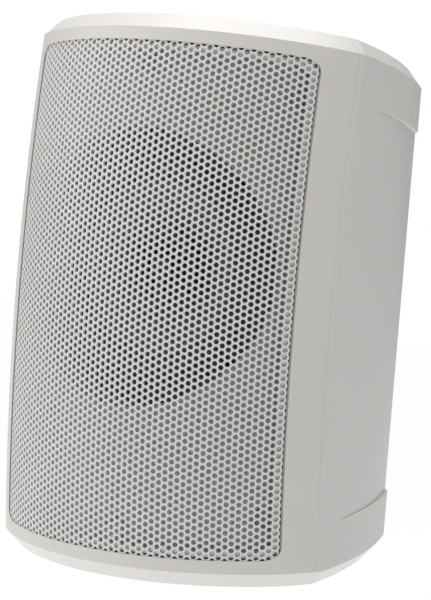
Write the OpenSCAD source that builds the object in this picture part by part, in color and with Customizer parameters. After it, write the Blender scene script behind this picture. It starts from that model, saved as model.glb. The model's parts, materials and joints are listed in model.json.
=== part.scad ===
// Two-way installation loudspeaker with a barrel-curved perforated front

/* [Cabinet outline] */
// Greatest width, across the side walls
body_w = 158.4; // [150:0.2:170]
// Depth from the middle of the front to the back
depth = 129; // [125:0.5:140]
// Height between the sloping end faces, taken at the front plane
end_h = 237.7; // [236:0.1:250]
// Slope of each end face towards the back, in degrees
end_tilt = 6.3; // [5:0.1:8]
// Radius of the front in plan, across the middle
front_r = 98; // [95:0.5:110]
// Angle that the front radius covers on each side of the middle, in degrees
front_angle = 41; // [38:0.5:43]
// Radius of the front in plan, beside the grille
cheek_r = 63.8; // [60:0.2:70]
// Radius of the front in height
barrel_r = 877; // [700:1:1200]
// Radius of the side walls in plan
side_r = 198; // [180:1:400]
// Distance from the front to the widest place of the side walls
widest_y = 62.8; // [58:0.2:70]
// Radius of the upright back corners
back_corner_r = 5; // [4:0.5:8]
// Height of the chamfer round each end
chamfer_h = 6.5; // [4:0.1:8]
// Inset of the chamfer round each end
chamfer_in = 5.8; // [3.5:0.1:7]

/* [Cabinet walls] */
// Thickness of the moulded walls
wall = 3; // [2.5:0.1:3.5]
// Thickness of the end walls
end_wall = 4.6; // [4.5:0.1:6]
// Distance from the front to the parting seam
seam_y = 39.5; // [38:0.1:40.5]
// Gap at the parting seam
seam_gap = 0.1; // [0.1:0.05:0.5]
// Depth of the seal behind the parting seam
seal_w = 4; // [3:0.1:6]
// Thickness of the seal behind the parting seam
seal_t = 2; // [1.5:0.1:3]

/* [Side recess] */
// Height of the full-width shoulder above and below each side recess, at the back
shoulder_h = 19.5; // [12:0.5:26]
// Distance from the front to the recess's front edge
recess_y = 57.5; // [55:0.5:70]
// Depth of the side recess at its front edge
recess_front = 0.25; // [0.2:0.05:0.6]
// Depth of the side recess at the back
recess_back = 1.4; // [1:0.1:2]
// Corner radius of the side recess
recess_r = 6; // [3:0.5:10]

/* [Grille] */
// Distance of the grille's side edges from the widest place of the cabinet, sideways
grille_side = 12.5; // [11:0.1:16]
// Distance of the grille's upper and lower edges from the end faces, at the front plane
grille_end = 12.5; // [12:0.1:18]
// Slope of the grille's upper and lower edges towards the back, in degrees
grille_tilt = 7; // [5:0.1:8]
// Corner radius of the grille
grille_corner = 5; // [3:0.5:10]
// Thickness of the grille's sheet
sheet_t = 1; // [0.8:0.1:1.2]
// How far the grille lies below the frame round it
grille_sink = 0.4; // [0.2:0.05:0.8]
// Gap between the grille and the frame round it
grille_gap = 0.6; // [0.4:0.05:1]
// Width of the ledge that the grille rests on
ledge_w = 3; // [2:0.1:5]
// Pitch of the perforation, opened out from the real sheet's 3 mm
hole_pitch = 10; // [10:0.1:14]
// Diameter of each hole in the perforation
hole_d = 6.4; // [4:0.1:6.6]

/* [Baffle] */
// Depth of the baffle's front below the outer surface
baffle_sink = 6; // [5:0.1:8]
// Thickness of the baffle
baffle_t = 3; // [2.5:0.1:4]
// Height of the driver's axis above mid-height
driver_z = 12.5; // [8:0.5:16]
// Radius of the round well that holds the driver
well_r = 58; // [57.5:0.1:59]
// Wall of the driver's well
well_wall = 2.5; // [2:0.1:3]
// Distance from the front to the seat of the driver
seat_y = 33; // [32:0.1:35]
// Thickness of the driver's seat
seat_t = 3.5; // [3:0.1:4]
// Radius of the opening in the driver's seat
seat_r = 50.5; // [50:0.1:51.5]

/* [Cabinet screws] */
// Distance of the corner screws from the widest place of the cabinet, sideways
screw_side = 21.2; // [20:0.1:23]
// Distance of the corner screws from the end faces
screw_end = 32.85; // [31:0.05:35]
// Distance of the middle screws from the end faces
mid_screw_end = 21.85; // [21.5:0.05:24]
// Radius of a screw's shank
screw_r = 1.75; // [1.5:0.05:2]
// Radius of a screw's head
screw_head_r = 3.6; // [3:0.1:3.8]
// Height of a screw's head
screw_head_t = 2.4; // [2:0.1:3]
// Length of a cabinet screw below its head
screw_l = 22; // [20:0.5:28]
// Radius of the round bosses that take the cabinet screws
boss_r = 5; // [4.5:0.1:5.5]

/* [Driver] */
// Outer radius of the driver's frame
frame_r = 57.4; // [57:0.1:57.4]
// Thickness of the driver's flange
flange_t = 3; // [2.5:0.1:3.5]
// Thickness of the driver's gasket
gasket_t = 0.8; // [0.6:0.1:1.2]
// Radius of the circle of the driver's screws
driver_screw_circle = 54; // [53.8:0.1:54.2]
// Outer radius of the surround's roll
roll_r = 47; // [46.5:0.1:47.5]
// Outer radius of the paper cone
cone_r = 38.5; // [38:0.1:40]
// Thickness of the paper cone
cone_t = 0.8; // [0.6:0.1:1.2]
// Depth of the paper cone
cone_depth = 17; // [15:0.5:18]
// Distance from the cone's neck back to the spider
spider_gap = 6; // [5.5:0.1:7]
// Distance from the flange's front back to the magnet's front plate
basket_depth = 35; // [34:0.5:38]
// Inner radius of the voice-coil former
former_r = 12.6; // [12.5:0.1:13.2]
// Wall of the voice-coil former
former_t = 0.4; // [0.3:0.05:0.5]
// Thickness of the coil's winding
coil_t = 0.7; // [0.5:0.05:0.8]
// Length of the coil's winding
coil_l = 10; // [8:0.5:12]
// Clearance of the coil and its former in the magnet's gap
coil_gap = 0.4; // [0.3:0.05:0.6]
// Travel of the cone to each side of rest
cone_travel = 2.5; // [1.5:0.1:3]
// Outer radius of the ring magnet
magnet_r = 36; // [33:0.5:38]
// Thickness of the ring magnet
magnet_t = 13; // [12:0.5:16]
// Thickness of the magnet's front and back plates
plate_t = 5; // [4:0.5:6]
// Number of windows in the driver's basket
windows = 6; // [4:1:8]

/* [Tweeter] */
// Outer radius of the tweeter's housing
tweeter_r = 11.4; // [11:0.1:11.6]
// Length of the tweeter's housing
tweeter_l = 13; // [12:0.5:15]
// Distance from the driver's flange back to the tweeter's housing
tweeter_sink = 9; // [8.5:0.1:9.5]
// Radius of the tweeter's dome
dome_r = 7; // [6.5:0.1:7.5]
// Outer radius of the tweeter's front ring
horn_r = 16; // [14:0.5:17]
// Radius of the post that carries the tweeter
post_r = 4; // [3.5:0.1:4.5]

/* [Rear panel] */
// Width of the pocket for the terminals
pocket_w = 98; // [94:0.5:100]
// Height of the pocket for the terminals
pocket_h = 46; // [44:0.5:48]
// Depth of the pocket for the terminals
pocket_d = 14; // [13:0.5:16]
// Distance of the pocket's middle from the lower end face
pocket_end = 46.85; // [46:0.05:50]
// Corner radius of the pocket
pocket_r = 5; // [4:0.5:8]
// Thickness of the terminal plate
panel_t = 3; // [2.5:0.1:4]
// Width of the lip that holds the terminal plate
panel_lip = 7; // [6.5:0.1:8]
// Distance between the bracket's inserts, sideways
bracket_x = 50; // [40:1:56]
// Distance between the bracket's inserts, upright
bracket_z = 76; // [60:1:78]
// Radius of the threaded hole in each insert
insert_hole_r = 2.5; // [2:0.1:3]
// Outer radius of each insert
insert_r = 4; // [3.8:0.1:4.5]
// Length of each insert
insert_l = 12; // [10:0.5:14]

/* [Terminals] */
// Distance of the terminal block's middle from the middle of the panel
block_x = 24; // [22:0.5:26]
// Width of the terminal block
block_w = 36; // [34:0.5:38]
// Height of the terminal block
block_h = 26; // [24:0.5:28]
// Depth of the terminal block behind the panel
block_d = 12; // [10:0.5:16]
// Radius of each wire hole in the terminal block
wire_r = 2.2; // [1.5:0.1:2.5]
// Height of the terminal block's flange above the panel
flange_h = 5; // [4:0.5:6]
// Width of each push lever
lever_w = 12; // [10:0.5:13]
// Length of each push lever below its pin
lever_l = 11; // [9:0.5:12]
// Distance of the levers' pins below the top of the block
lever_top = 3; // [2.5:0.1:4]
// Distance of the levers' pins from the panel
pin_y = 2.8; // [2:0.1:3.2]
// Radius of each lever's hinge pins
pin_r = 1.2; // [1:0.1:1.5]
// Radius of the tap switch's knob
knob_r = 11; // [9:0.5:12]
// Height of the tap switch's knob
knob_h = 9; // [8:0.5:10]
// Radius of the tap switch's body
switch_r = 14; // [12:0.5:15]
// Radius of the switch's bushing
bush_r = 5; // [4.5:0.1:6]
// Radius of the knob's shaft
shaft_r = 3; // [2.5:0.1:3.5]

/* [Crossover] */
// Width of the crossover board
board_w = 88; // [80:1:90]
// Height of the crossover board
board_h = 42; // [40:1:44]
// Thickness of the crossover board
board_t = 1.6; // [1.2:0.1:2]
// Distance of the board's middle from the upper end face
board_end = 46.85; // [46:0.05:50]
// Height of the pillars that carry the board
pillar_h = 8; // [6:0.5:10]

/* [Line transformer] */
// Width of the transformer's core
core_x = 40; // [36:1:42]
// Thickness of the transformer's core
core_y = 16; // [14:0.5:18]
// Height of the transformer's core
core_z = 33; // [30:0.5:36]
// Width of the core's outer legs
core_leg = 6.5; // [5.5:0.1:7.5]
// Distance of the transformer from the middle, sideways
transformer_x = 29; // [28:0.5:30]
// Distance of the transformer from the front
transformer_y = 76; // [75:0.5:78]

/* [Leads and wadding] */
// Radius of each inner lead
lead_r = 0.8; // [0.6:0.05:1.2]
// Thickness of the wadding on each side wall
wadding_t = 12; // [8:0.5:14]
// Height of the wadding
wadding_h = 110; // [80:1:130]
// Distance of the wadding's front from the front plane
wadding_y = 62; // [56:0.5:70]
// Depth of the wadding
wadding_l = 46; // [30:0.5:50]

/* [Hidden] */
$fn = 96;

white = [0.87, 0.87, 0.85];
dark = [0.10, 0.10, 0.11];
paper = [0.14, 0.14, 0.15];
steel = [0.62, 0.63, 0.64];
brass = [0.72, 0.58, 0.30];
copper = [0.70, 0.38, 0.20];

sweep = 10;
run_out = 20;
cheek_x = (front_r - cheek_r) * sin(front_angle);
cheek_y = front_r - (front_r - cheek_r) * cos(front_angle);
side_x = body_w / 2 - side_r;
chamfer_slope = chamfer_in / chamfer_h;
edge_z = end_h / 2 - chamfer_h;
edge_y = barrel_r - sqrt(barrel_r * barrel_r - edge_z * edge_z);
end_front = edge_y * cos(end_tilt) + chamfer_h * sin(end_tilt);
end_mid = (widest_y + chamfer_h * sin(end_tilt)) / cos(end_tilt);
grille_w = body_w - 2 * grille_side;
grille_h = end_h - 2 * grille_end;
screw_x = body_w / 2 - screw_side;
screw_z = end_h / 2 - screw_end;
mid_screw_z = end_h / 2 - mid_screw_end;
pocket_z = end_h / 2 - pocket_end;
board_z = end_h / 2 - board_end;
flange_y = seat_y - gasket_t - flange_t;
cone_y = flange_y;
cone_back = cone_y + cone_depth;
top_plate_y = flange_y + basket_depth;
magnet_y = top_plate_y + plate_t;
back_plate_y = magnet_y + magnet_t;
coil_y = top_plate_y + plate_t / 2 - coil_l / 2;
gap_r = former_r + former_t + coil_t + coil_gap;
spider_y = cone_back + spider_gap;
basket_r = magnet_r - 5;
tweeter_y = flange_y + tweeter_sink;
panel_y = depth - pocket_d;
board_y = depth - wall - pillar_h;
fit = 0.1;
lever_z = block_h / 2 - lever_top;

// Height of the barrel curve's drop at a height z from the middle
function drop(z) = barrel_r - sqrt(barrel_r * barrel_r - z * z);

// Distance from the front plane to the outer surface, at x from the middle
function front_at(x) = abs(x) <= front_r * sin(front_angle)
  ? front_r - sqrt(front_r * front_r - x * x)
  : cheek_y - sqrt(cheek_r * cheek_r - pow(abs(x) - cheek_x, 2));

// Angle of the front in plan, at an arc length s from the middle
function arc_angle(s) = s <= front_r * front_angle * PI / 180
  ? s / front_r * 180 / PI
  : front_angle + (s - front_r * front_angle * PI / 180) / cheek_r * 180 / PI;

// Point of the front in plan, at an angle a from the middle
function arc_point(a) = a <= front_angle
  ? [front_r * sin(a), front_r - front_r * cos(a)]
  : [cheek_x + cheek_r * sin(a), cheek_y - cheek_r * cos(a)];

// Puts shapes drawn with the front plane at y = 0 into the part's frame, whose back plane is y = 0
module from_front() {
  translate([0, -depth, 0]) children();
}

// Turns a profile, drawn as radius and depth, about the driver's axis
module turned() {
  translate([0, 0, driver_z]) rotate([-90, 0, 0]) rotate_extrude() children();
}

// Round bar along the depth, from y to y + l
module bar(r, y, l) {
  translate([0, y, 0]) rotate([-90, 0, 0]) cylinder(r = r, h = l);
}

// Block with rounded upright corners, seen from the front
module slab(w, h, r, y, t) {
  translate([0, y + t, 0]) rotate([90, 0, 0]) linear_extrude(height = t) rounded(w, h, r);
}

// Rectangle with corners of true arcs
module rounded(w, h, r) {
  union() {
    square([w - 2 * r, h], center = true);
    square([w, h - 2 * r], center = true);
    for (i = [-1, 1]) {
      for (j = [-1, 1]) {
        translate([i * (w / 2 - r), j * (h / 2 - r)]) circle(r = r);
      }
    }
  }
}

// Plan of everything behind the front surface, at a depth off below it
module front_plan(off) {
  reach = front_r * 1.4;
  union() {
    intersection() {
      translate([0, front_r]) circle(r = front_r - off);
      polygon([[0, front_r], [-reach * sin(front_angle), front_r - reach * cos(front_angle)],
        [reach * sin(front_angle), front_r - reach * cos(front_angle)]]);
    }
    for (i = [-1, 1]) {
      translate([i * cheek_x, cheek_y]) circle(r = cheek_r - off);
    }
    translate([-(cheek_x + cheek_r - off), cheek_y])
      square([2 * (cheek_x + cheek_r - off), depth + run_out - cheek_y]);
  }
}

// Sweeps a plan along the barrel curve
module barrel() {
  translate([0, barrel_r, 0]) rotate([0, 90, 0]) rotate([0, 0, -90 - sweep])
    rotate_extrude(angle = 2 * sweep, $fn = 720) translate([barrel_r, 0]) rotate(90) children();
}

// Everything behind the front surface, at a depth off below it
module front_solid(off) {
  barrel() front_plan(off);
}

// Everything from one barrel-curved level to another
module barrel_band(y1, y2) {
  barrel() translate([-body_w, y1]) square([2 * body_w, y2 - y1]);
}

// Plan of the side walls and the back, at a depth off below them
module side_plan(off) {
  r = max(back_corner_r - off, 1.5);
  corner_y = depth - off - r;
  corner_x = side_x + sqrt(pow(side_r - off - r, 2) - pow(corner_y - widest_y, 2));
  turn = atan2(corner_y - widest_y, corner_x - side_x);
  difference() {
    intersection() {
      translate([side_x, widest_y]) circle(r = side_r - off, $fn = 360);
      translate([-side_x, widest_y]) circle(r = side_r - off, $fn = 360);
      translate([-body_w, -run_out]) square([2 * body_w, depth - off + run_out]);
    }
    for (i = [0, 1]) {
      mirror([i, 0]) difference() {
        polygon([[corner_x, corner_y], [corner_x + 3 * r * cos(turn), corner_y + 3 * r * sin(turn)],
          [corner_x + 3 * r, corner_y + 3 * r], [corner_x, corner_y + 3 * r]]);
        translate([corner_x, corner_y]) circle(r = r);
      }
    }
  }
}

module side_solid(off) {
  translate([0, 0, -end_h]) linear_extrude(height = 2 * end_h) side_plan(off);
}

// Cone that narrows by the chamfer's slope up to an end face
module chamfer_cone(r) {
  l = 3 * chamfer_h;
  translate([0, 0, -l]) cylinder(r1 = r + (l - chamfer_h) * chamfer_slope, r2 = r - chamfer_in, h = l, $fn = 240);
}

// Everything below the upper end face and its chamfer, with that face at z = 0
module end_form() {
  l = 3 * chamfer_h;
  reach = front_r * 2;
  intersection() {
    union() {
      intersection() {
        translate([0, end_front + front_r, 0]) chamfer_cone(front_r);
        translate([0, end_front + front_r, -l]) linear_extrude(height = l)
          polygon([[0, 0], [-reach * sin(front_angle), -reach * cos(front_angle)],
            [reach * sin(front_angle), -reach * cos(front_angle)]]);
      }
      for (i = [-1, 1]) {
        translate([i * cheek_x, end_front + cheek_y, 0]) chamfer_cone(cheek_r);
      }
      translate([-body_w, end_front + cheek_y, -l]) cube([2 * body_w, depth, l]);
    }
    translate([side_x, end_mid, 0]) chamfer_cone(side_r);
    translate([-side_x, end_mid, 0]) chamfer_cone(side_r);
  }
}

// Everything below the upper end face, lowered by down
module below_end(down) {
  l = 3 * chamfer_h;
  translate([0, 0, end_h / 2]) rotate([-end_tilt, 0, 0]) translate([0, 0, -down]) {
    union() {
      end_form();
      translate([-body_w, -3 * run_out, -l - 2 * end_h]) cube([2 * body_w, depth + 6 * run_out, 2 * end_h]);
    }
  }
}

module between_ends(down) {
  intersection() {
    below_end(down);
    mirror([0, 0, 1]) below_end(down);
  }
}

// Whole outside of the loudspeaker, or its whole inside
module envelope(off, down) {
  intersection() {
    side_solid(off);
    front_solid(off);
    between_ends(down);
  }
}

// Puts a screw's shapes at each cabinet screw, and says how far back its seat is
module at_screws() {
  for (p = [[screw_x, screw_z], [-screw_x, screw_z], [screw_x, -screw_z], [-screw_x, -screw_z],
    [0, mid_screw_z], [0, -mid_screw_z]]) {
    $drop = drop(p[1]);
    $low = p[0] == 0 && p[1] < 0;
    $seat = front_at(abs(p[0]) + boss_r) + drop(abs(p[1]) + boss_r) + grille_sink + sheet_t + 1.6;
    translate([p[0], 0, p[1]]) children();
  }
}

// Wedge-shaped space of one side recess, deepest at the back
module side_recess() {
  a1 = asin((recess_y - widest_y) / side_r);
  a2 = asin((depth - widest_y) / side_r);
  dx = (recess_front * sin(a2) - recess_back * sin(a1)) / sin(a2 - a1);
  dy = (recess_back * cos(a1) - recess_front * cos(a2)) / sin(a2 - a1);
  half = edge_z - depth * tan(end_tilt) - shoulder_h;
  difference() {
    translate([body_w / 4, 0, 0]) rotate([90, 0, 90]) linear_extrude(height = body_w / 2) recess_outline(half);
    translate([side_x - dx, widest_y - dy, -end_h]) cylinder(r = side_r, h = 2 * end_h, $fn = 360);
  }
}

// Outline of a side recess, as depth and height, with half its height at the back
module recess_outline(half) {
  r = recess_r;
  fall = tan(end_tilt);
  reach = [depth + run_out, half - run_out * fall];
  centre = [recess_y + r, half + (depth - recess_y - r) * fall - r / cos(end_tilt)];
  bend = [for (k = [0 : 8]) centre + r * [cos(90 - end_tilt + k * (90 + end_tilt) / 8),
    sin(90 - end_tilt + k * (90 + end_tilt) / 8)]];
  upper = concat([reach], bend);
  lower = [for (k = [len(upper) - 1 : -1 : 0]) [upper[k][0], -upper[k][1]]];
  polygon(concat(upper, lower));
}

module rear_cabinet() {
  lip_y = panel_y - panel_t - gasket_t;
  color(white) from_front() difference() {
    union() {
      difference() {
        intersection() {
          envelope(0, 0);
          barrel_band(seam_y + seam_gap / 2, depth + run_out);
        }
        intersection() {
          side_solid(wall);
          between_ends(end_wall);
        }
        side_recess();
        mirror([1, 0, 0]) side_recess();
      }
      intersection() {
        side_solid(wall / 2);
        between_ends(end_wall / 2);
        union() {
          cabinet_columns();
          cabinet_mounts();
          translate([0, 0, -pocket_z])
            slab(pocket_w + 2 * wall, pocket_h + 2 * wall, pocket_r + wall, lip_y - wall,
              pocket_d + wall + panel_t);
        }
      }
    }
    translate([0, 0, -pocket_z]) {
      slab(pocket_w, pocket_h, pocket_r, lip_y, depth);
      slab(pocket_w - 2 * panel_lip, pocket_h - 2 * panel_lip, 2, lip_y - 2 * wall, depth);
      at_panel_screws() bar(1.5, lip_y - 2 * wall, depth);
    }
    at_screws() bar(screw_r + fit, 0, $seat + screw_head_t + screw_l + 1);
    at_inserts() bar(insert_r, depth - insert_l, insert_l + 1);
    at_board_screws() bar(1.2, board_y - 1, pillar_h);
    at_transformer_screws() translate([0, 0, -4]) cylinder(r = 1.6, h = 5);
  }
}

// Columns that take the cabinet screws
module cabinet_columns() {
  rib_y = seam_y + seal_w / 2 + drop(end_h / 2) + 1;
  at_screws() bar(boss_r, seam_y + $drop + 0.2, $low ? panel_y - seam_y - 18 : depth);
  translate([-1.25, rib_y, -end_h / 2]) cube([2.5, panel_y - 14 - rib_y, end_h / 2 - mid_screw_z - 2]);
}

// Bosses for the bracket inserts and pillars for the board
module cabinet_mounts() {
  at_inserts() bar(insert_r + 2.5, depth - insert_l - 2.5, insert_l);
  at_board_screws() bar(3.5, board_y, pillar_h + 1);
}

module at_inserts() {
  for (i = [-1, 1]) {
    for (j = [-1, 1]) {
      translate([i * bracket_x / 2, 0, j * bracket_z / 2]) children();
    }
  }
}

module at_board_screws() {
  for (i = [-1, 1]) {
    for (j = [-1, 1]) {
      translate([i * (board_w / 2 - 4), 0, board_z + j * (board_h / 2 - 4)]) children();
    }
  }
}

module at_panel_screws() {
  for (i = [-1, 1]) {
    for (j = [-1, 1]) {
      translate([i * (pocket_w - panel_lip) / 2, 0, j * (pocket_h - panel_lip) / 2]) children();
    }
  }
}

// Frame of the line transformer, which stands on the sloping floor of the cabinet
module on_floor() {
  translate([0, 0, -end_h / 2]) rotate([end_tilt, 0, 0])
    translate([transformer_x, transformer_y, end_wall]) children();
}

module at_transformer_screws() {
  on_floor() {
    for (j = [-1, 1]) {
      translate([0, j * (core_y / 2 + 11), 0]) children();
    }
  }
}

// Solid behind an outline with the grille's sloping upper and lower edges, from y onwards
module opening(w, h, r, y) {
  intersection() {
    opening_half(w, h, r, y);
    mirror([0, 0, 1]) opening_half(w, h, r, y);
  }
}

// The same outline with its upper edge in place and its lower one out of the way
module opening_half(w, h, r, y) {
  translate([0, 0, h / 2]) rotate([-grille_tilt, 0, 0]) translate([0, 0, -h])
    slab(w, 2 * h, r, y - run_out, 6 * run_out);
}

module front_frame() {
  back = seam_y - seam_gap / 2;
  ledge = grille_sink + sheet_t + fit;
  color(white) from_front() difference() {
    union() {
      difference() {
        intersection() {
          envelope(0, 0);
          barrel_band(-run_out, back);
        }
        envelope(wall, end_wall);
      }
      intersection() {
        envelope(0.5, 1);
        barrel_band(-run_out, back);
        frame_core();
      }
    }
    difference() {
      opening(grille_w + 2 * grille_gap, grille_h + 2 * grille_gap, grille_corner + grille_gap, -run_out);
      front_solid(ledge);
    }
    difference() {
      opening(grille_w - 2 * ledge_w, grille_h - 2 * ledge_w, grille_corner, -run_out);
      front_solid(baffle_sink);
      at_screws() bar(boss_r, $seat, run_out);
    }
    translate([0, 0, driver_z]) bar(well_r, -run_out, seat_y + run_out);
    translate([0, 0, driver_z]) bar(seat_r, 0, 2 * seat_y);
    at_screws() bar(screw_r + fit, 0, 2 * seat_y);
    at_screws() bar(screw_head_r + 4 * fit, 0, $seat + screw_head_t);
    at_driver_screws() bar(1.4, 0, 2 * seat_y);
  }
}

// Baffle, ledge walls, driver's well and screw bosses, before the pocket is cut
module frame_core() {
  difference() {
    opening(grille_w + 2 * grille_gap + wall, grille_h + 2 * grille_gap + wall, grille_corner + wall, -run_out);
    difference() {
      front_solid(baffle_sink + baffle_t);
      translate([0, 0, driver_z]) bar(well_r + well_wall, 0, seat_y + seat_t);
      at_screws() bar(boss_r, 0, seam_y + $drop - 0.2);
    }
  }
}

module at_driver_screws() {
  for (a = [45 : 90 : 315]) {
    translate([driver_screw_circle * cos(a), 0, driver_z + driver_screw_circle * sin(a)]) children();
  }
}

module grille() {
  color(white) from_front() difference() {
    intersection() {
      barrel() difference() {
        front_plan(grille_sink);
        front_plan(grille_sink + sheet_t);
      }
      opening(grille_w, grille_h, grille_corner, -run_out);
    }
    perforation();
  }
}

// Holes on a triangular pattern that follows the sheet both ways
module perforation() {
  step = hole_pitch * sqrt(3) / 2;
  edge = hole_d / 2 + sheet_t / 2;
  for (i = [-ceil(grille_w / step) : ceil(grille_w / step)]) {
    a = arc_angle(abs(i) * step);
    p = arc_point(a);
    if (p[0] + edge * cos(a) <= grille_w / 2) {
      rows = floor((grille_h / 2 - edge) / hole_pitch * 2);
      for (k = [-rows : rows]) {
        if ((i + k) % 2 == 0) {
          translate([0, barrel_r, 0]) rotate([k * hole_pitch / 2 / barrel_r * 180 / PI, 0, 0])
            translate([i < 0 ? -p[0] : p[0], p[1] - barrel_r, 0]) rotate([90, 0, i < 0 ? -a : a])
            cylinder(d = hole_d, h = 6, center = true, $fn = 24);
        }
      }
    }
  }
}

// Seal that lies inside the walls, across the parting seam
module cabinet_seal() {
  color(dark) from_front() difference() {
    intersection() {
      side_solid(wall);
      between_ends(end_wall);
      front_solid(wall);
      barrel_band(seam_y - 2, seam_y - 2 + seal_w);
    }
    envelope(wall + seal_t, end_wall + seal_t);
  }
}

module cabinet_screws() {
  color(steel) from_front() at_screws() {
    bar(screw_r, $seat, screw_head_t + screw_l);
    difference() {
      bar(screw_head_r, $seat, screw_head_t);
      translate([0, $seat + screw_head_t / 4, 0]) cube([1, screw_head_t, 4], center = true);
      translate([0, $seat + screw_head_t / 4, 0]) cube([4, screw_head_t, 1], center = true);
    }
  }
}

module driver_gasket() {
  color(dark) from_front() difference() {
    turned() translate([seat_r + 0.5, seat_y - gasket_t]) square([frame_r - seat_r - 0.5, gasket_t]);
    at_driver_screws() bar(screw_r, 0, 2 * seat_y);
  }
}

module driver_basket() {
  color(dark) from_front() difference() {
    turned() {
      polygon([[roll_r, flange_y], [frame_r, flange_y], [frame_r, flange_y + flange_t],
        [seat_r - 0.5, flange_y + flange_t], [basket_r + 2, spider_y], [basket_r + 2, top_plate_y],
        [gap_r + 4, top_plate_y], [gap_r + 4, top_plate_y - 2], [basket_r, top_plate_y - 2],
        [basket_r, spider_y + 3], [basket_r - 3, spider_y + 3], [basket_r - 3, spider_y - fit],
        [basket_r, spider_y - fit], [basket_r, spider_y - 1.2], [roll_r, flange_y + flange_t]]);
    }
    for (k = [0 : windows - 1]) {
      translate([0, 0, driver_z]) rotate([0, (k + 0.5) * 360 / windows, 0])
        translate([0, flange_y + flange_t + 3, -basket_window() / 2])
        cube([2 * frame_r, spider_y - flange_y - flange_t - 5, basket_window()]);
    }
    at_driver_screws() bar(screw_r + fit, 0, 2 * seat_y);
  }
}

// Width of each window in the basket
function basket_window() = basket_r * 2 * sin(180 / windows) - 9;

module driver_screws() {
  color(steel) from_front() at_driver_screws() {
    bar(1.3, flange_y, 14);
    difference() {
      bar(2.8, flange_y - 1.8, 1.8);
      translate([0, flange_y - 1.6, 0]) cube([0.8, 1.8, 3], center = true);
      translate([0, flange_y - 1.6, 0]) cube([3, 1.8, 0.8], center = true);
    }
  }
}

// Half-round roll between the cone and the frame
module surround() {
  mid = (cone_r + roll_r) / 2;
  roll = (roll_r - cone_r) / 2 + cone_t / 2;
  color(dark) from_front() turned() union() {
    difference() {
      intersection() {
        translate([mid, flange_y]) circle(r = roll);
        translate([mid - roll, flange_y - roll - 1]) square([2 * roll, roll + 1]);
      }
      translate([mid, flange_y]) circle(r = roll - cone_t);
    }
    translate([mid + roll - cone_t, flange_y - cone_t]) square([3.5, cone_t]);
    translate([cone_r - 2, flange_y - cone_t]) square([2.5, cone_t]);
  }
}

module cone() {
  neck = former_r + former_t;
  rim = cone_y + 0.01;
  color(paper) from_front() turned() polygon([[cone_r, rim], [cone_r, rim + cone_t], [neck, cone_back + cone_t],
    [neck, cone_back], [cone_r - 2, rim]]);
}

module coil_former() {
  color(copper) from_front() turned()
    translate([former_r, cone_back - 2]) square([former_t, coil_y + coil_l - cone_back + 2]);
}

module coil_winding() {
  color(copper) from_front() turned() translate([former_r + former_t, coil_y]) square([coil_t, coil_l]);
}

// Corrugated cloth disc that centres the coil
module spider() {
  inner = former_r + former_t;
  outer = basket_r - 0.5;
  waves = 5;
  step = (outer - 3.5 - inner) / waves / 2;
  top = [for (k = [0 : 2 * waves]) [inner + 0.5 + k * step, spider_y + (k % 2) * 1.4 - 0.7]];
  front = concat([[inner, spider_y - 0.7]], top, [[outer, spider_y - 0.7]]);
  back = [for (k = [len(front) - 1 : -1 : 0]) [front[k][0], front[k][1] + 0.5]];
  color([0.75, 0.62, 0.30]) from_front() turned() polygon(concat(front, back));
}

module top_plate() {
  color(steel) from_front() turned() translate([gap_r, top_plate_y]) square([magnet_r - 1 - gap_r, plate_t]);
}

module ring_magnet() {
  color(dark) from_front() turned() translate([gap_r + 4, magnet_y]) square([magnet_r - gap_r - 4, magnet_t]);
}

// Back plate and pole in one turned piece
module yoke() {
  bore = post_r + fit;
  pole = former_r - coil_gap;
  color(steel) from_front() turned() union() {
    translate([bore, top_plate_y]) square([pole - bore, plate_t + magnet_t + 1]);
    translate([bore, back_plate_y]) square([magnet_r - 1 - bore, plate_t]);
  }
}

module tweeter_post() {
  end_y = back_plate_y + plate_t;
  color(steel) from_front() translate([0, 0, driver_z]) {
    bar(post_r, tweeter_y + tweeter_l - 2, end_y + 1 - tweeter_y - tweeter_l + 2);
    bar(2 * post_r, end_y, 2.5);
  }
}

module tweeter_housing() {
  color(dark) from_front() turned() difference() {
    translate([0, tweeter_y]) square([tweeter_r, tweeter_l]);
    translate([0, tweeter_y - 1]) square([tweeter_r - 1.6, tweeter_l - 1]);
    translate([0, tweeter_y]) square([post_r + fit / 2, tweeter_l + 1]);
  }
}

module tweeter_magnet() {
  color(steel) from_front() translate([0, 0, driver_z]) bar(tweeter_r - 3, tweeter_y + 5, tweeter_l - 7);
}

module tweeter_dome() {
  rise = dome_r * 0.42;
  ball = (dome_r * dome_r + rise * rise) / 2 / rise;
  tip = tweeter_y - rise;
  color([0.25, 0.26, 0.30]) from_front() turned() union() {
    intersection() {
      difference() {
        translate([0, tip + ball]) circle(r = ball);
        translate([0, tip + ball]) circle(r = ball - 0.3);
      }
      translate([0, tip - 1]) square([dome_r, rise + 1]);
    }
    translate([dome_r - 0.4, tweeter_y - 0.4]) square([tweeter_r - 2 - dome_r + 0.2, 0.4]);
    translate([dome_r - 0.4, tweeter_y - 0.4]) square([0.4, 4]);
  }
}

// Short flared ring in front of the tweeter
module tweeter_ring() {
  color(dark) from_front() turned() polygon([[tweeter_r - 1.6, tweeter_y], [tweeter_r, tweeter_y],
    [horn_r, tweeter_y - 4.5], [horn_r, tweeter_y - 6], [horn_r - 1, tweeter_y - 6],
    [tweeter_r - 1.6, tweeter_y - 1.5]]);
}

// Disc on three arms in front of the dome
module phase_plug() {
  front = tweeter_y - 6 - 1.6;
  color(dark) from_front() translate([0, 0, driver_z]) intersection() {
    bar(horn_r - 0.2, front, 1.6);
    union() {
      bar(4.5, front, 1.6);
      for (a = [90 : 120 : 330]) {
        rotate([0, a, 0]) translate([0, front, -0.8]) cube([horn_r, 1.6, 1.6]);
      }
    }
  }
}

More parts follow.
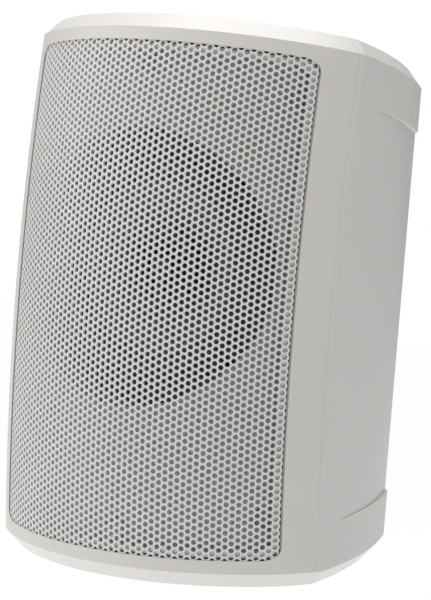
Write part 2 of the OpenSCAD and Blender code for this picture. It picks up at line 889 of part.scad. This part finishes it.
module terminal_plate() {
  color(dark) from_front() translate([0, 0, -pocket_z]) difference() {
    slab(pocket_w - 0.8, pocket_h - 0.8, pocket_r - 0.4, panel_y - panel_t, panel_t);
    translate([block_x, 0, 0]) slab(block_w + 0.4, block_h + 0.4, 1.2, 0, depth);
    translate([-block_x, 0, 0]) bar(bush_r + fit, 0, depth);
    at_panel_screws() bar(1.6, 0, depth);
  }
}

module terminal_plate_seal() {
  color(paper) from_front() translate([0, 0, -pocket_z]) difference() {
    slab(pocket_w - 0.8, pocket_h - 0.8, pocket_r - 0.4, panel_y - panel_t - gasket_t, gasket_t);
    slab(pocket_w - 2 * panel_lip, pocket_h - 2 * panel_lip, 2, 0, depth);
    at_panel_screws() bar(1.6, 0, depth);
  }
}

module terminal_plate_screws() {
  color(steel) from_front() translate([0, 0, -pocket_z]) at_panel_screws() {
    bar(1.4, panel_y - panel_t - 5, panel_t + 5.5);
    difference() {
      bar(2.8, panel_y, 1.8);
      translate([0, panel_y + 1.6, 0]) cube([0.8, 1.8, 3.2], center = true);
      translate([0, panel_y + 1.6, 0]) cube([3.2, 1.8, 0.8], center = true);
    }
  }
}

// Block with two wire holes and a slot and hinge pins' holes for each lever
module terminal_block() {
  color(dark) from_front() translate([block_x, 0, -pocket_z]) difference() {
    union() {
      slab(block_w, block_h, 1, panel_y - panel_t - block_d, block_d + panel_t + 1);
      slab(block_w + 4, block_h + 4, 2, panel_y, flange_h);
    }
    at_levers() {
      translate([-lever_w / 2 - 0.4, panel_y - 3.5, lever_z - lever_l - 1])
        cube([lever_w + 0.8, 20, lever_l + 3.6]);
      translate([-lever_w / 2 - 2, panel_y + pin_y, lever_z]) rotate([0, 90, 0])
        cylinder(r = pin_r + 0.06, h = lever_w + 4);
      translate([0, 0, -block_h / 2 + wire_r + 2]) bar(wire_r, panel_y - 8, 20);
    }
  }
}

module at_levers() {
  for (i = [-1, 1]) {
    translate([i * block_w / 4, 0, 0]) children();
  }
}

// Push lever with its two hinge pins in one piece
module lever(side, tint) {
  color(tint) from_front() translate([block_x + side * block_w / 4, panel_y + pin_y, lever_z - pocket_z]) {
    rotate([0, 90, 0]) cylinder(r = pin_r, h = lever_w + 3, center = true);
    translate([-lever_w / 2, 0, 0]) rotate([90, 0, 90]) linear_extrude(height = lever_w) lever_side();
  }
}

// Side view of a lever, with its pin at the middle
module lever_side() {
  front = flange_h - pin_y;
  union() {
    circle(r = 1.8);
    polygon([[-1.8, 0], [-1.8, -lever_l + 1], [front + 0.2, -lever_l], [front + 1, -lever_l + 2.5], [front, -2],
      [1.8, 0]]);
  }
}

module lever_red() {
  lever(-1, [0.62, 0.10, 0.09]);
}

module lever_black() {
  lever(1, dark);
}

// Rotary switch behind the plate, with a bushing that guides the knob's shaft
module tap_switch() {
  color(dark) from_front() translate([-block_x, 0, -pocket_z]) difference() {
    union() {
      bar(switch_r, panel_y - panel_t - 18, 18);
      bar(bush_r, panel_y - panel_t - 1, panel_t + 2);
    }
    bar(shaft_r + 0.06, panel_y - 9, 20);
  }
}

module tap_knob() {
  color([0.2, 0.2, 0.21]) from_front() translate([-block_x, 0, -pocket_z]) difference() {
    union() {
      bar(shaft_r, panel_y - 8.5, 12);
      bar(knob_r, panel_y + 1.4, 3);
      bar(knob_r - 2.5, panel_y + 1.4, knob_h);
    }
    translate([0, panel_y + 1.4 + knob_h, knob_r - 4.5]) cube([1, 1.6, 6], center = true);
    for (k = [0 : 11]) {
      rotate([0, k * 30 + 15, 0]) translate([knob_r - 1.9, 0, 0]) bar(1, panel_y + 4.4, knob_h);
    }
  }
}

module bracket_inserts() {
  color(brass) from_front() at_inserts() difference() {
    bar(insert_r, depth - insert_l, insert_l);
    bar(insert_hole_r, depth - insert_l - 1, insert_l + 2);
  }
}

module crossover_board() {
  color([0.12, 0.35, 0.20]) from_front() difference() {
    translate([0, 0, board_z]) slab(board_w, board_h, 2, board_y - board_t, board_t);
    at_board_screws() bar(1.3, 0, depth);
    at_screws() bar(boss_r + 0.5, 0, depth);
  }
}

module board_screws() {
  color(steel) from_front() at_board_screws() {
    bar(1.1, board_y - board_t - 0.5, 7);
    bar(2.4, board_y - board_t - 1.6, 1.6);
  }
}

module woofer_inductor() {
  color(copper) from_front() translate([-24, 0, board_z]) difference() {
    bar(13, board_y - board_t - 12, 12);
    bar(6, 0, depth);
  }
}

module tweeter_inductor() {
  color(copper) from_front() translate([2, 0, board_z - 8]) difference() {
    bar(8, board_y - board_t - 8, 8);
    bar(3.5, 0, depth);
  }
}

module capacitors() {
  color([0.75, 0.62, 0.15]) from_front() {
    translate([14, board_y - board_t - 5.5, board_z + 9]) rotate([0, 90, 0]) cylinder(r = 5.5, h = 24);
    translate([14, board_y - board_t - 4.5, board_z - 5]) rotate([0, 90, 0]) cylinder(r = 4.5, h = 20);
  }
}

module resistor() {
  color([0.85, 0.83, 0.78]) from_front() translate([-8, board_y - board_t - 8, board_z + 6]) cube([20, 8, 8]);
}

// Laminated core with its two feet
module transformer_core() {
  color(steel) from_front() on_floor() difference() {
    union() {
      translate([-core_x / 2, -core_y / 2, 0]) cube([core_x, core_y, core_z]);
      translate([-6, -core_y / 2 - 16, 0]) cube([12, core_y + 32, 1.5]);
    }
    for (i = [-1, 1]) {
      translate([i * (core_x / 4 + 0.5) - 4, -core_y, core_leg]) cube([8, 2 * core_y, core_z - 2 * core_leg]);
    }
    for (j = [-1, 1]) {
      translate([0, j * (core_y / 2 + 11), -1]) cylinder(r = 1.7, h = 4);
    }
  }
}

module transformer_winding() {
  tall = core_z - 2 * core_leg - 0.2;
  color(copper) from_front() on_floor() translate([0, 0, core_leg + 0.1 + tall / 2]) difference() {
    cube([core_x / 2 + 8.6, core_y + 15, tall], center = true);
    cube([core_x / 2 - 6.8, core_y + 0.2, core_z], center = true);
  }
}

module transformer_screws() {
  color(steel) from_front() at_transformer_screws() {
    translate([0, 0, -3.5]) cylinder(r = 1.5, h = 5);
    translate([0, 0, 1.5]) cylinder(r = 2.8, h = 1.8);
  }
}

// Strip on the basket that takes the driver's leads
module driver_terminals() {
  color(copper) from_front() translate([0, 0, driver_z]) difference() {
    translate([-8, spider_y + 3, basket_r - 1]) cube([16, 7, 6]);
    bar(basket_r + 2 + fit / 2, 0, depth);
  }
}

function unit(v) = v / norm(v);

// Direction of a route at its point k
function along(p, k) = unit(p[min(k + 1, len(p) - 1)] - p[max(k - 1, 0)]);

// Smooth route through a few points, with three steps between each two
function smooth(p) = concat([for (k = [0 : len(p) - 2]) each [for (t = [0, 1 / 3, 2 / 3])
  let (a = p[max(k - 1, 0)], b = p[k], c = p[k + 1], d = p[min(k + 2, len(p) - 1)])
  b + t / 2 * (c - a + t * (2 * a - 5 * b + 4 * c - d + t * (3 * b - a - 3 * c + d)))]], [p[len(p) - 1]]);

// Round tube along a route that never runs along the direction side
module lead(points, side) {
  p = smooth(points);
  n = 8;
  rings = [for (k = [0 : len(p) - 1]) let (d = along(p, k), u = unit(cross(d, side)), v = cross(d, u))
    each [for (i = [0 : n - 1]) p[k] + lead_r * (cos(i * 360 / n) * u + sin(i * 360 / n) * v)]];
  last = n * (len(p) - 1);
  walls = [for (k = [0 : len(p) - 2]) each [for (i = [0 : n - 1])
    let (a = k * n + i, b = k * n + (i + 1) % n) each [[a, a + n, b], [b, a + n, b + n]]]];
  polyhedron(points = rings, faces = concat([[for (i = [0 : n - 1]) i]], walls,
    [[for (i = [n - 1 : -1 : 0]) last + i]]));
}

// Leads from the driver to the crossover
module woofer_leads() {
  color(dark) from_front() {
    lead([[4, spider_y + 6.5, driver_z + basket_r + 5.1], [4, spider_y + 7, 54], [3, 66, 60], [0, 80, 61],
      [-4, 95, 56], [-6, 103, 51], [-6, 110, 53], [-6, board_y - board_t - 2 * fit, 53.5]], [1, 0, 0]);
    lead([[-4, spider_y + 6.5, driver_z + basket_r + 5.1], [-4, spider_y + 7, 54], [-6, 66, 60], [-9, 80, 61],
      [-13, 95, 56], [-15, 103, 51], [-15, 110, 53], [-15, board_y - board_t - 2 * fit, 53.5]], [1, 0, 0]);
  }
}

// Leads from the terminals to the line transformer
module input_leads() {
  back = panel_y - panel_t - block_d - fit;
  color(dark) from_front() for (x = [18, 38]) {
    lead([[x, back, -80], [x, back - 2, -80.3], [x, back - 4, -83], [x, back - 5.5, -86],
      [x, transformer_y + core_y / 2 + 8.2, -87]], [1, 0, 0]);
  }
}

// Leads from the line transformer's taps to the rotary switch
module switch_leads() {
  front = panel_y - panel_t - 18 - fit;
  color(dark) from_front() for (z = [0, 4, 8]) {
    lead([[-20, front, z - 72], [-19.5, front - 3, z - 72.5], [-15, front - 6, z - 75.5], [-6, front - 7.5, z - 82],
      [4, front - 7.5, z - 88], [transformer_x - core_x / 4 - 4.6, front - 7.5, z - 91]], [0, 0, 1]);
  }
}

// Leads from the line transformer to the crossover
module board_leads() {
  color(dark) from_front() for (x = [24, 32]) {
    lead([[x, 82, -72], [x, 88, -68], [x, 95, -52], [x - 1, 99, -20], [x - 2, 100, 10], [x - 3, 102, 38],
      [x - 3, 104.5, 51], [x - 3, 110, 53.2], [x - 3, board_y - board_t - 2 * fit, 53.5]], [1, 0, 0]);
  }
}

// Wadding on the inside of each side wall
module wadding() {
  color([0.85, 0.85, 0.82]) from_front() intersection() {
    side_solid(wall + fit);
    for (i = [-1, 1]) {
      translate([i * (body_w / 2 - wadding_t), wadding_y + wadding_l / 2, 0])
        cube([2 * wadding_t, wadding_l, wadding_h], center = true);
    }
  }
}

rear_cabinet();
front_frame();
grille();
cabinet_seal();
cabinet_screws();
driver_gasket();
driver_basket();
driver_screws();
surround();
cone();
coil_former();
coil_winding();
spider();
top_plate();
ring_magnet();
yoke();
tweeter_post();
tweeter_housing();
tweeter_magnet();
tweeter_dome();
tweeter_ring();
phase_plug();
terminal_plate();
terminal_plate_seal();
terminal_plate_screws();
terminal_block();
lever_red();
lever_black();
tap_switch();
tap_knob();
bracket_inserts();
crossover_board();
woofer_inductor();
tweeter_inductor();
capacitors();
resistor();
board_screws();
transformer_core();
transformer_winding();
transformer_screws();
driver_terminals();
woofer_leads();
input_leads();
switch_leads();
board_leads();
wadding();
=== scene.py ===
"""Studio scene for a white wall loudspeaker with a barrel-curved perforated grille."""

import json
import math

import bpy
from mathutils import Matrix, Vector
from mathutils.geometry import delaunay_2d_cdt


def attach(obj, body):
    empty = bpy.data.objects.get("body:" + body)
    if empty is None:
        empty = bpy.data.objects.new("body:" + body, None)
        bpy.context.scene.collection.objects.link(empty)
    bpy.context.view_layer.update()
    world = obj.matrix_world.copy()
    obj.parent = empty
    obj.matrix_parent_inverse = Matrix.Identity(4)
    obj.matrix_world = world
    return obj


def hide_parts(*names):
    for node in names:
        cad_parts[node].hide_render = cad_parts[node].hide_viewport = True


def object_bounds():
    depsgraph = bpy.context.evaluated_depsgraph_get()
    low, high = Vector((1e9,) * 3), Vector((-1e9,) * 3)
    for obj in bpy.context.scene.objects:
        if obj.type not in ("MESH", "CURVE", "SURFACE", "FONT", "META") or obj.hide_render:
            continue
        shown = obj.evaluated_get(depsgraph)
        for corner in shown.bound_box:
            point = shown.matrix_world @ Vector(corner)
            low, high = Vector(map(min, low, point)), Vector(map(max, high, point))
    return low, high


MM = 0.001

# Outline of the cabinet's front, in millimetres, as in the part's own source
DEPTH = 129.0
FRONT_R = 98.0
FRONT_ANGLE = math.radians(41)
CHEEK_R = 63.8
BARREL_R = 877.0

# Grille, in millimetres
GRILLE_W = 133.4
GRILLE_H = 212.7
GRILLE_CORNER = 5.0
GRILLE_SINK = 0.4
SHEET_T = 1.0
PITCH = 3.0
HOLE_R = 1.11
HOLE_SIDES = 12
EDGE_WEB = 0.25
CELL_MARGIN = 0.02
MERGE_PER_MM = 200

# Black strip behind the grille's edge, painted shade in the gap round the sheet, in millimetres
STRIP_GROW = 0.5
STRIP_W = 1.0
STRIP_GAP = 0.01
STRIP_T = 0.07

# Straight stretches of an outline, across and up
ACROSS_PARTS = 56
UP_PARTS = 84

# Camera, in millimetres and radians
CAMERA_PLACE = (573.28, -949.16 - DEPTH, 47.12)
CAMERA_YAW = 0.508
CAMERA_PITCH = 0.041
CAMERA_ROLL = 0.082
LENS = 162.05

# Studio, in metres
LIGHT_TARGET = (0.0, -0.09, 0.0)
FILL = 0.2
KEY_POWER = 8.8
TOP_POWER = 20.0
FLOOR_DROP = 0.35
FLOOR_REACH = 8.0
FLOOR_TONE = 0.35
FLOOR_GLOW = 0.9

# Grain of the finishes
CLOUD_SCALE = 35.0
RELIEF = 0.0001

CHEEK_X = (FRONT_R - CHEEK_R) * math.sin(FRONT_ANGLE)
CHEEK_Y = FRONT_R - (FRONT_R - CHEEK_R) * math.cos(FRONT_ANGLE)
FRONT_ARC = FRONT_R * FRONT_ANGLE

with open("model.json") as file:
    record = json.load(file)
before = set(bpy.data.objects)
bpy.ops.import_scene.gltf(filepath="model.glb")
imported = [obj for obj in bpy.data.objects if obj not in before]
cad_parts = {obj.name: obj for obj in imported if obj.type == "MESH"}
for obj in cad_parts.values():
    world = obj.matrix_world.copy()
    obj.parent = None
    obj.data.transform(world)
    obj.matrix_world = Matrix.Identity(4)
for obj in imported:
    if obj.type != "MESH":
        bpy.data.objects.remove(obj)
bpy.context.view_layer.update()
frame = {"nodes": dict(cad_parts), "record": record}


def front_point(s, v, below):
    """Point of the front in metres, s along the plan and v up the barrel, at a depth below the surface."""
    arc = abs(s)
    if arc <= FRONT_ARC:
        a = arc / FRONT_R
        x = (FRONT_R - below) * math.sin(a)
        y = FRONT_R - (FRONT_R - below) * math.cos(a)
    else:
        a = FRONT_ANGLE + (arc - FRONT_ARC) / CHEEK_R
        x = CHEEK_X + (CHEEK_R - below) * math.sin(a)
        y = CHEEK_Y - (CHEEK_R - below) * math.cos(a)
    turn = v / BARREL_R
    r = BARREL_R - y
    place = (math.copysign(x, s), BARREL_R - r * math.cos(turn) - DEPTH, r * math.sin(turn))
    return Vector(place) * MM


def new_object(name, points, faces, material, smooth_angle=30.0):
    """Mesh object from points in metres."""
    mesh = bpy.data.meshes.new(name)
    mesh.from_pydata([tuple(p) for p in points], [], faces)
    mesh.validate()
    mesh.materials.append(material)
    obj = bpy.data.objects.new(name, mesh)
    bpy.context.scene.collection.objects.link(obj)
    mesh.polygons.foreach_set("use_smooth", [True] * len(mesh.polygons))
    mesh.set_sharp_from_angle(angle=math.radians(smooth_angle))
    return obj


def aim_camera():
    """Camera at the photograph's viewpoint: 31 degrees right of the front and a little above the middle."""
    level = math.cos(CAMERA_PITCH)
    back = Vector((math.sin(CAMERA_YAW) * level, -math.cos(CAMERA_YAW) * level, math.sin(CAMERA_PITCH)))
    right = Vector((math.cos(CAMERA_YAW), math.sin(CAMERA_YAW), 0.0))
    up = back.cross(right)
    tilted_right = math.cos(CAMERA_ROLL) * right + math.sin(CAMERA_ROLL) * up
    tilted_up = math.cos(CAMERA_ROLL) * up - math.sin(CAMERA_ROLL) * right
    data = bpy.data.cameras.new("camera")
    data.lens = LENS
    data.sensor_width = 36.0
    data.clip_start, data.clip_end = 0.05, 50.0
    camera = bpy.data.objects.new("camera", data)
    bpy.context.scene.collection.objects.link(camera)
    turn = Matrix((tilted_right, tilted_up, back)).transposed()
    camera.matrix_world = Matrix.Translation(Vector(CAMERA_PLACE) * MM) @ turn.to_4x4()
    bpy.context.scene.camera = camera


def area_light(name, place, size, power):
    """Rectangular light that points at the middle of the object."""
    data = bpy.data.lights.new(name, "AREA")
    data.shape = "RECTANGLE"
    data.size, data.size_y = size
    data.energy = power
    light = bpy.data.objects.new(name, data)
    bpy.context.scene.collection.objects.link(light)
    light.location = place
    light.rotation_mode = "QUATERNION"
    light.rotation_quaternion = (Vector(LIGHT_TARGET) - Vector(place)).to_track_quat("-Z", "Y")


def light_studio():
    """White surroundings, a pale floor, a broad light from the left and one from above."""
    scene = bpy.context.scene
    scene.view_settings.view_transform = "Standard"
    world = bpy.data.worlds.new("studio")
    world.use_nodes = True
    scene.world = world
    nodes, links = world.node_tree.nodes, world.node_tree.links
    seen = nodes["Background"]
    seen.inputs["Color"].default_value = (1.0, 1.0, 1.0, 1.0)
    seen.inputs["Strength"].default_value = 1.0
    cast = nodes.new("ShaderNodeBackground")
    cast.inputs["Color"].default_value = (1.0, 0.99, 0.98, 1.0)
    cast.inputs["Strength"].default_value = FILL
    ray = nodes.new("ShaderNodeLightPath")
    either = nodes.new("ShaderNodeMixShader")
    links.new(ray.outputs["Is Camera Ray"], either.inputs["Fac"])
    links.new(cast.outputs["Background"], either.inputs[1])
    links.new(seen.outputs["Background"], either.inputs[2])
    links.new(either.outputs["Shader"], nodes["World Output"].inputs["Surface"])
    area_light("key", (-1.35, -0.95, 0.5), (1.5, 1.5), KEY_POWER)
    area_light("top", (0.02, -0.2, 1.25), (1.2, 1.2), TOP_POWER)
    pale_floor()


def pale_floor():
    """Floor well below the object, bright enough to meet the white surroundings."""
    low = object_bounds()[0].z - FLOOR_DROP
    corners = [(x * FLOOR_REACH, y * FLOOR_REACH, low) for x, y in ((-1, -1), (1, -1), (1, 1), (-1, 1))]
    mesh = bpy.data.meshes.new("floor")
    mesh.from_pydata(corners, [], [(0, 1, 2, 3)])
    floor = bpy.data.objects.new("floor", mesh)
    bpy.context.scene.collection.objects.link(floor)
    material = bpy.data.materials.new("floor")
    material.use_nodes = True
    shader = material.node_tree.nodes["Principled BSDF"]
    shader.inputs["Base Color"].default_value = (FLOOR_TONE, FLOOR_TONE, FLOOR_TONE, 1.0)
    shader.inputs["Roughness"].default_value = 1.0
    shader.inputs["Emission Color"].default_value = (1.0, 1.0, 1.0, 1.0)
    shader.inputs["Emission Strength"].default_value = FLOOR_GLOW
    mesh.materials.append(material)


def plain_material(name, color, roughness, grain=0.0, grain_size=0.0006, metallic=0.0, coat=0.0, mottle=0.03):
    """Procedural finish: slight mottling of colour and roughness, and a fine grain in relief."""
    material = bpy.data.materials.new(name)
    material.use_nodes = True
    tree = material.node_tree
    nodes, links = tree.nodes, tree.links
    shader = nodes["Principled BSDF"]
    shader.inputs["Metallic"].default_value = metallic
    shader.inputs["Coat Weight"].default_value = coat
    place = nodes.new("ShaderNodeTexCoord")
    cloud = nodes.new("ShaderNodeTexNoise")
    cloud.inputs["Scale"].default_value = CLOUD_SCALE
    cloud.inputs["Detail"].default_value = 4.0
    links.new(place.outputs["Object"], cloud.inputs["Vector"])
    tone = nodes.new("ShaderNodeMix")
    tone.data_type = "RGBA"
    tone.inputs[6].default_value = (*[c * (1 - mottle) for c in color], 1.0)
    tone.inputs[7].default_value = (*[min(1.0, c * (1 + mottle)) for c in color], 1.0)
    links.new(cloud.outputs["Fac"], tone.inputs[0])
    links.new(tone.outputs[2], shader.inputs["Base Color"])
    gloss = nodes.new("ShaderNodeMapRange")
    gloss.inputs["To Min"].default_value = max(0.02, roughness - 0.05)
    gloss.inputs["To Max"].default_value = min(1.0, roughness + 0.05)
    links.new(cloud.outputs["Fac"], gloss.inputs["Value"])
    links.new(gloss.outputs["Result"], shader.inputs["Roughness"])
    if grain > 0:
        speck = nodes.new("ShaderNodeTexNoise")
        speck.inputs["Scale"].default_value = 1.0 / grain_size
        speck.inputs["Detail"].default_value = 2.0
        links.new(place.outputs["Object"], speck.inputs["Vector"])
        relief = nodes.new("ShaderNodeBump")
        relief.inputs["Strength"].default_value = grain
        relief.inputs["Distance"].default_value = RELIEF
        links.new(speck.outputs["Fac"], relief.inputs["Height"])
        links.new(relief.outputs["Normal"], shader.inputs["Normal"])
    return material


MATERIALS = {
    "cabinet_plastic": plain_material("cabinet_plastic", (0.66, 0.644, 0.625), 0.42, 0.25),
    "frame_plastic": plain_material("frame_plastic", (0.66, 0.642, 0.62), 0.42, 0.25),
    "baffle_plastic": plain_material("baffle_plastic", (0.60, 0.60, 0.59), 0.5, 0.2),
    "grille_paint": plain_material("grille_paint", (0.69, 0.69, 0.68), 0.42, 0.1, 0.0004),
    "foam_seal": plain_material("foam_seal", (0.06, 0.06, 0.06), 0.9, 0.6, 0.0008),
    "screw_steel": plain_material("screw_steel", (0.55, 0.55, 0.56), 0.35, 0.1, 0.0005, metallic=1.0),
    "screw_black": plain_material("screw_black", (0.03, 0.03, 0.03), 0.4, 0.1, 0.0005, metallic=0.6),
    "basket_paint": plain_material("basket_paint", (0.14, 0.14, 0.142), 0.45, 0.3, 0.0005),
    "surround_rubber": plain_material("surround_rubber", (0.13, 0.13, 0.131), 0.55, 0.15, 0.0005),
    "cone_paper": plain_material("cone_paper", (0.25, 0.25, 0.252), 0.7, 0.5, 0.0009, mottle=0.15),
    "former_film": plain_material("former_film", (0.35, 0.18, 0.05), 0.35),
    "copper_wire": plain_material("copper_wire", (0.62, 0.25, 0.10), 0.3, 0.5, 0.0006, metallic=0.9),
    "spider_cloth": plain_material("spider_cloth", (0.50, 0.34, 0.09), 0.8, 0.6, 0.0006),
    "zinc_steel": plain_material("zinc_steel", (0.55, 0.55, 0.53), 0.38, 0.15, 0.0007, metallic=1.0),
    "ferrite": plain_material("ferrite", (0.04, 0.04, 0.042), 0.6, 0.5, 0.0007),
    "black_plastic": plain_material("black_plastic", (0.10, 0.10, 0.102), 0.5, 0.3, 0.0006),
    "magnet_nickel": plain_material("magnet_nickel", (0.6, 0.59, 0.55), 0.25, metallic=1.0),
    "dome_silk": plain_material("dome_silk", (0.03, 0.03, 0.035), 0.5, 0.4, 0.0004),
    "red_plastic": plain_material("red_plastic", (0.50, 0.015, 0.012), 0.32, 0.1),
    "lever_plastic": plain_material("lever_plastic", (0.02, 0.02, 0.02), 0.32, 0.1),
    "switch_plastic": plain_material("switch_plastic", (0.04, 0.04, 0.045), 0.5, 0.2),
    "knob_plastic": plain_material("knob_plastic", (0.025, 0.025, 0.027), 0.48, 0.3),
    "insert_brass": plain_material("insert_brass", (0.70, 0.48, 0.18), 0.3, 0.2, metallic=1.0),
    "board_green": plain_material("board_green", (0.015, 0.11, 0.045), 0.35, 0.2, 0.0012, coat=0.3),
    "capacitor_film": plain_material("capacitor_film", (0.50, 0.28, 0.03), 0.3, 0.1, coat=0.4),
    "resistor_ceramic": plain_material("resistor_ceramic", (0.65, 0.62, 0.55), 0.7, 0.5),
    "core_steel": plain_material("core_steel", (0.30, 0.30, 0.31), 0.45, 0.6, 0.0005, metallic=0.8),
    "winding_tape": plain_material("winding_tape", (0.55, 0.33, 0.04), 0.35, 0.2, coat=0.3),
    "strip_laminate": plain_material("strip_laminate", (0.30, 0.20, 0.09), 0.5, 0.3),
    "lead_insulation": plain_material("lead_insulation", (0.03, 0.03, 0.03), 0.4, 0.1),
    "wadding_fibre": plain_material("wadding_fibre", (0.72, 0.72, 0.70), 0.95, 1.0, 0.0012, mottle=0.12),
}


def dress_nodes():
    """Gives every solid of the frame the material of its slot."""
    slots = {row["node"]: row["material_slot"] for row in frame["record"]["subparts"]}
    for name, obj in frame["nodes"].items():
        obj.data.materials.clear()
        obj.data.materials.append(MATERIALS[slots[name]])


def hex_cells():
    """Centres of the sheet's holes as column and row numbers with their arc lengths."""
    step = PITCH * math.sqrt(3) / 2
    half = plan_arc(GRILLE_W / 2)
    columns = int(half / step) + 2
    rows = int(GRILLE_H / PITCH) + 3
    for i in range(-columns, columns):
        for k in range(-rows, rows + 1):
            if (i + k) % 2 == 0:
                yield (i + 0.5) * step, k * PITCH / 2


def plan_arc(x):
    """Arc length along the plan of the front, from the middle to a distance x sideways."""
    if x <= FRONT_R * math.sin(FRONT_ANGLE):
        return FRONT_R * math.asin(x / FRONT_R)
    return FRONT_ARC + CHEEK_R * (math.asin((x - CHEEK_X) / CHEEK_R) - FRONT_ANGLE)


def window_outline(grow, corner_steps=8):
    """Outline of the grille in arc lengths, grown by a margin, counterclockwise, with its sides divided."""
    half_s, half_v, r = plan_arc(GRILLE_W / 2) + grow, GRILLE_H / 2 + grow, GRILLE_CORNER + grow
    points = []
    for sx, sy, start in ((1, 1, 0), (-1, 1, 90), (-1, -1, 180), (1, -1, 270)):
        for k in range(corner_steps + 1):
            a = math.radians(start + 90 * k / corner_steps)
            points.append((sx * (half_s - r) + r * math.cos(a), sy * (half_v - r) + r * math.sin(a)))
        x, y = points[-1]
        if start in (0, 180):
            points += [(x * (1 - 2 * k / ACROSS_PARTS), y) for k in range(1, ACROSS_PARTS)]
        else:
            points += [(x, y * (1 - 2 * k / UP_PARTS)) for k in range(1, UP_PARTS)]
    return points


def ring_points(r, sides):
    """Corners of a regular polygon round the origin."""
    angles = [math.radians(360 * k / sides) for k in range(sides)]
    return [(r * math.cos(a), r * math.sin(a)) for a in angles]


def inside_window(p, margin):
    """Whether a point is at least a margin inside the grille's outline."""
    dx = abs(p[0]) - (plan_arc(GRILLE_W / 2) - GRILLE_CORNER)
    dy = abs(p[1]) - (GRILLE_H / 2 - GRILLE_CORNER)
    if dx > 0 and dy > 0:
        return math.hypot(dx, dy) <= GRILLE_CORNER - margin
    return max(dx, dy) <= GRILLE_CORNER - margin


def edge_strip(flat, vertex, hexagons, open_cells, rim):
    """Triangles between the sheet's outline and the whole cells, round the open edge holes."""
    rings = [window_outline(0.0)]
    rings += [[(x + a, y + b) for a, b in rim] for x, y in open_cells]
    points, faces, place = [], [], {}
    for ring in rings:
        faces.append(list(range(len(points), len(points) + len(ring))))
        points += ring
    for hexagon in hexagons:
        face = []
        for n in hexagon:
            if n not in place:
                place[n] = len(points)
                points.append(flat[n])
            face.append(place[n])
        faces.append(face)
    made, _, triangles, _, _, owners = delaunay_2d_cdt([Vector(p) for p in points], [], faces, 1, 1e-4)
    return [[vertex(made[n].x, made[n].y) for n in face]
            for face, owner in zip(triangles, owners) if list(owner) == [0]]


def perforated_sheet():
    """The whole grille: every hole of the real sheet, open edge holes included, closed at its back."""
    cell_r = PITCH / math.sqrt(3)
    corners = ring_points(cell_r, 6)
    rim = ring_points(HOLE_R, HOLE_SIDES)
    keys, flat = {}, []
    front, back, hexagons, circles, open_cells = [], [], [], [], []

    def vertex(x, y):
        key = (round(x * MERGE_PER_MM), round(y * MERGE_PER_MM))
        if key not in keys:
            keys[key] = len(flat)
            flat.append((x, y))
        return keys[key]

    for x, y in hex_cells():
        if inside_window((x, y), cell_r + CELL_MARGIN):
            hexagon = [vertex(x + a, y + b) for a, b in corners]
            circle = [vertex(x + a, y + b) for a, b in rim]
            hexagons.append(hexagon)
            circles.append(circle)
            for k in range(6):
                c0, c1, c2 = circle[2 * k], circle[2 * k + 1], circle[(2 * k + 2) % HOLE_SIDES]
                h0, h1 = hexagon[k], hexagon[(k + 1) % 6]
                front += [(h0, h1, c1), (h0, c1, c0), (h1, c2, c1)]
                back.append((h0, h1, c2, c0))
        elif inside_window((x, y), EDGE_WEB - HOLE_R):
            open_cells.append((x, y))
    strip = edge_strip(flat, vertex, hexagons, open_cells, rim)
    strip = [tuple(f) for f in strip if len(set(f)) == len(f)]
    around = {(f[k], f[(k + 1) % 3]) for f in strip for k in range(3)}
    whole = {(h[(k + 1) % 6], h[k]) for h in hexagons for k in range(6)}
    walls = [(a, b) for a, b in around if (b, a) not in around and (a, b) not in whole]
    count = len(flat)
    points = [front_point(x, y, GRILLE_SINK) for x, y in flat]
    points += [front_point(x, y, GRILLE_SINK + SHEET_T) for x, y in flat]
    faces = front + strip
    faces += [tuple(n + count for n in reversed(f)) for f in back + strip]
    faces += [(b, a, a + count, b + count) for a, b in walls]
    for circle in circles:
        for k in range(6):
            c0, c1, c2 = circle[2 * k], circle[2 * k + 1], circle[(2 * k + 2) % HOLE_SIDES]
            faces += [(c0, c1, c0 + count), (c1, c2, c2 + count), (c1, c2 + count, c0 + count)]
    used = sorted({n for f in faces for n in f})
    place = {n: k for k, n in enumerate(used)}
    obj = new_object("grille_sheet", [points[n] for n in used], [tuple(place[n] for n in f) for f in faces],
                     MATERIALS["grille_paint"])
    triangles = sum(len(p.vertices) - 2 for p in obj.data.polygons)
    print("grille:", len(circles), "full holes,", len(open_cells), "edge holes,", triangles, "triangles")
    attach(obj, "cabinet")
    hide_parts("grille")


def painted_shade_strip():
    """Thin black strip on the ledge behind the grille's edge: painted shade that darkens the gap round the
    sheet and its open edge holes.
    """
    outer, inner = window_outline(STRIP_GROW), window_outline(-STRIP_W)
    n = len(outer)
    points = []
    top = GRILLE_SINK + SHEET_T + STRIP_GAP
    for below in (top, top + STRIP_T):
        points += [front_point(x, y, below) for x, y in outer + inner]
    faces = []
    for k in range(n):
        m = (k + 1) % n
        faces += [(k, m, n + m, n + k), (2 * n + m, 2 * n + k, 3 * n + k, 3 * n + m),
                  (m, k, 2 * n + k, 2 * n + m), (n + k, n + m, 3 * n + m, 3 * n + k)]
    # The black foam_seal finish on this strip is painted shade behind the grille's edge
    obj = new_object("painted_shade_strip", points, faces, MATERIALS["foam_seal"])
    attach(obj, "cabinet")


aim_camera()
light_studio()
dress_nodes()
perforated_sheet()
painted_shade_strip()
